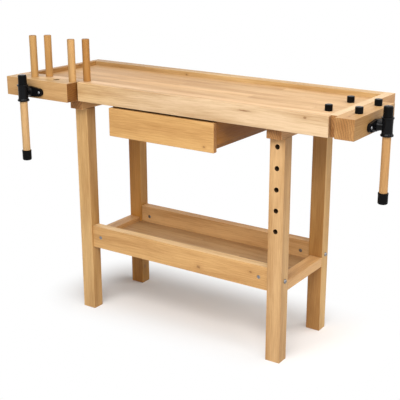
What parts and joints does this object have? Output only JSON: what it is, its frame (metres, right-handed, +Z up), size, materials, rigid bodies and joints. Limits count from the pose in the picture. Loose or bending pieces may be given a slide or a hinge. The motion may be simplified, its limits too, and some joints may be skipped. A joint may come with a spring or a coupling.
{
  "type": "woodworking bench",
  "caption": "Wooden workbench with screw vises at the front left and the right end, dog holes with pegs and dogs, a drawer under the top and a low shelf.",
  "frame": {"origin": "on the floor, under the middle of the bounding box", "axes": "+X along the bench to the tail vise, +Y from the front to the back, +Z up"},
  "size_m": [1.3616, 0.5436, 0.992],
  "materials": {
    "oiled_wood": "oiled, satin",
    "turned_wood": "turned, pale, satin",
    "black_metal": "black, satin",
    "black_plastic": "matte",
    "zinc": "zinc plated",
    "bright_steel": "bright drawn"
  },
  "bodies": {
    "bench": {"front_left_leg": "oiled_wood", "front_right_leg": "oiled_wood", "back_left_leg": "oiled_wood", "back_right_leg": "oiled_wood", "left_bearer": "oiled_wood", "right_bearer": "oiled_wood", "front_shelf_rail": "oiled_wood", "back_shelf_rail": "oiled_wood", "left_end_rail": "oiled_wood", "right_end_rail": "oiled_wood", "shelf_panel": "oiled_wood", "worktop_panel": "oiled_wood", "front_beam": "oiled_wood", "apron": "oiled_wood", "left_rim": "oiled_wood", "back_rim": "oiled_wood", "tail_end_board": "oiled_wood", "drawer_runner_left": "oiled_wood", "drawer_runner_right": "oiled_wood", "barrel_nut_front_left": "zinc", "barrel_nut_front_right": "zinc", "barrel_nut_back_left": "zinc", "barrel_nut_back_right": "zinc", "frame_bolt_front_left": "zinc", "frame_bolt_front_right": "zinc", "frame_bolt_back_left": "zinc", "frame_bolt_back_right": "zinc", "front_nut_plate": "black_metal", "tail_nut_plate": "black_metal"},
    "front_jaw": {"front_jaw": "oiled_wood", "front_guide_rod_left": "bright_steel", "front_guide_rod_right": "bright_steel", "front_flange": "black_metal"},
    "front_screw": {"front_screw": "black_metal"},
    "front_handle": {"front_handle": "turned_wood", "front_handle_top_cap": "black_plastic", "front_handle_bottom_cap": "black_plastic"},
    "tail_jaw": {"tail_jaw": "oiled_wood", "tail_guide_rod_left": "bright_steel", "tail_guide_rod_right": "bright_steel", "tail_flange": "black_metal"},
    "tail_screw": {"tail_screw": "black_metal"},
    "tail_handle": {"tail_handle": "turned_wood", "tail_handle_top_cap": "black_plastic", "tail_handle_bottom_cap": "black_plastic"},
    "drawer": {"drawer_front": "oiled_wood", "drawer_left_side": "oiled_wood", "drawer_right_side": "oiled_wood", "drawer_back": "oiled_wood", "drawer_floor": "oiled_wood"},
    "jaw_peg_left": {"jaw_peg_left": "turned_wood"},
    "jaw_peg_right": {"jaw_peg_right": "turned_wood"},
    "beam_peg_left": {"beam_peg_left": "turned_wood"},
    "beam_peg_right": {"beam_peg_right": "turned_wood"},
    "jaw_dog_front": {"jaw_dog_front": "black_plastic"},
    "jaw_dog_back": {"jaw_dog_back": "black_plastic"},
    "worktop_dog_front": {"worktop_dog_front": "black_plastic"},
    "worktop_dog_back": {"worktop_dog_back": "black_plastic"}
  },
  "joints": [
    {"name": "front_jaw_slide", "type": "slide", "parent": "bench", "child": "front_jaw", "axis": [0, -1, 0], "range_m": [0, 0.1201]},
    {"name": "front_screw_turn", "type": "hinge", "parent": "front_jaw", "child": "front_screw", "pos_m": [-0.56475, -0.21225, 0.81], "axis": [0, -1, 0], "range_deg": [0, 7200]},
    {"name": "front_handle_slide", "type": "slide", "parent": "front_screw", "child": "front_handle", "axis": [0, 0, 1], "range_m": [0, 0.165]},
    {"name": "tail_jaw_slide", "type": "slide", "parent": "bench", "child": "tail_jaw", "axis": [1, 0, 0], "range_m": [0, 0.1201]},
    {"name": "tail_screw_turn", "type": "hinge", "parent": "tail_jaw", "child": "tail_screw", "pos_m": [0.62125, -0.03125, 0.81], "axis": [1, 0, 0], "range_deg": [0, 7200]},
    {"name": "tail_handle_slide", "type": "slide", "parent": "tail_screw", "child": "tail_handle", "axis": [0, 0, 1], "range_m": [0, 0.165]},
    {"name": "drawer_slide", "type": "slide", "parent": "bench", "child": "drawer", "axis": [0, -1, 0], "range_m": [0, 0.28]},
    {"name": "jaw_peg_left_lift", "type": "slide", "parent": "front_jaw", "child": "jaw_peg_left", "axis": [0, 0, 1], "range_m": [0, 0.03]},
    {"name": "jaw_peg_right_lift", "type": "slide", "parent": "front_jaw", "child": "jaw_peg_right", "axis": [0, 0, 1], "range_m": [0, 0.03]},
    {"name": "beam_peg_left_lift", "type": "slide", "parent": "bench", "child": "beam_peg_left", "axis": [0, 0, 1], "range_m": [0, 0.03]},
    {"name": "beam_peg_right_lift", "type": "slide", "parent": "bench", "child": "beam_peg_right", "axis": [0, 0, 1], "range_m": [0, 0.03]},
    {"name": "jaw_dog_front_lift", "type": "slide", "parent": "tail_jaw", "child": "jaw_dog_front", "axis": [0, 0, 1], "range_m": [0, 0.03]},
    {"name": "jaw_dog_back_lift", "type": "slide", "parent": "tail_jaw", "child": "jaw_dog_back", "axis": [0, 0, 1], "range_m": [0, 0.03]},
    {"name": "worktop_dog_front_lift", "type": "slide", "parent": "bench", "child": "worktop_dog_front", "axis": [0, 0, 1], "range_m": [0, 0.03]},
    {"name": "worktop_dog_back_lift", "type": "slide", "parent": "bench", "child": "worktop_dog_back", "axis": [0, 0, 1], "range_m": [0, 0.03]}
  ],
  "couplings": [
    {"joint": "front_jaw_slide", "follows": "front_screw_turn", "m_per_rad": 0.00095493},
    {"joint": "tail_jaw_slide", "follows": "tail_screw_turn", "m_per_rad": 0.00095493}
  ]
}
